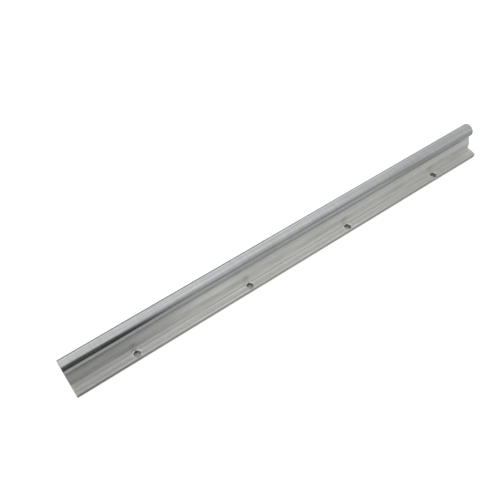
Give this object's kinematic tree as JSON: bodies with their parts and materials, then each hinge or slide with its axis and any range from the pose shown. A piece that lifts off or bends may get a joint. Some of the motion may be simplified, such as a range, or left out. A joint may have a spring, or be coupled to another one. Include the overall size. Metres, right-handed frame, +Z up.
{
  "type": "supported round rail",
  "caption": "Ground round shaft carried along its whole length by an extruded aluminium support with drilled flanges; an open linear bearing runs on it.",
  "frame": {"origin": "the middle of the support's underside, on the floor it stands on", "axes": "+X along the rail, +Y across it towards the far flange of the picture, +Z up through the shaft"},
  "size_m": [0.4, 0.032, 0.026],
  "materials": {
    "support": "mill finish aluminium extrusion with fine die lines along its length",
    "shaft": "hardened steel, ground and polished round its girth",
    "screw": "black oxide socket head cap screw"
  },
  "bodies": {
    "root": {"support_rail": "support", "round_shaft": "shaft", "shaft_screw_1": "screw", "shaft_screw_2": "screw", "shaft_screw_3": "screw", "shaft_screw_4": "screw"}
  },
  "joints": []
}
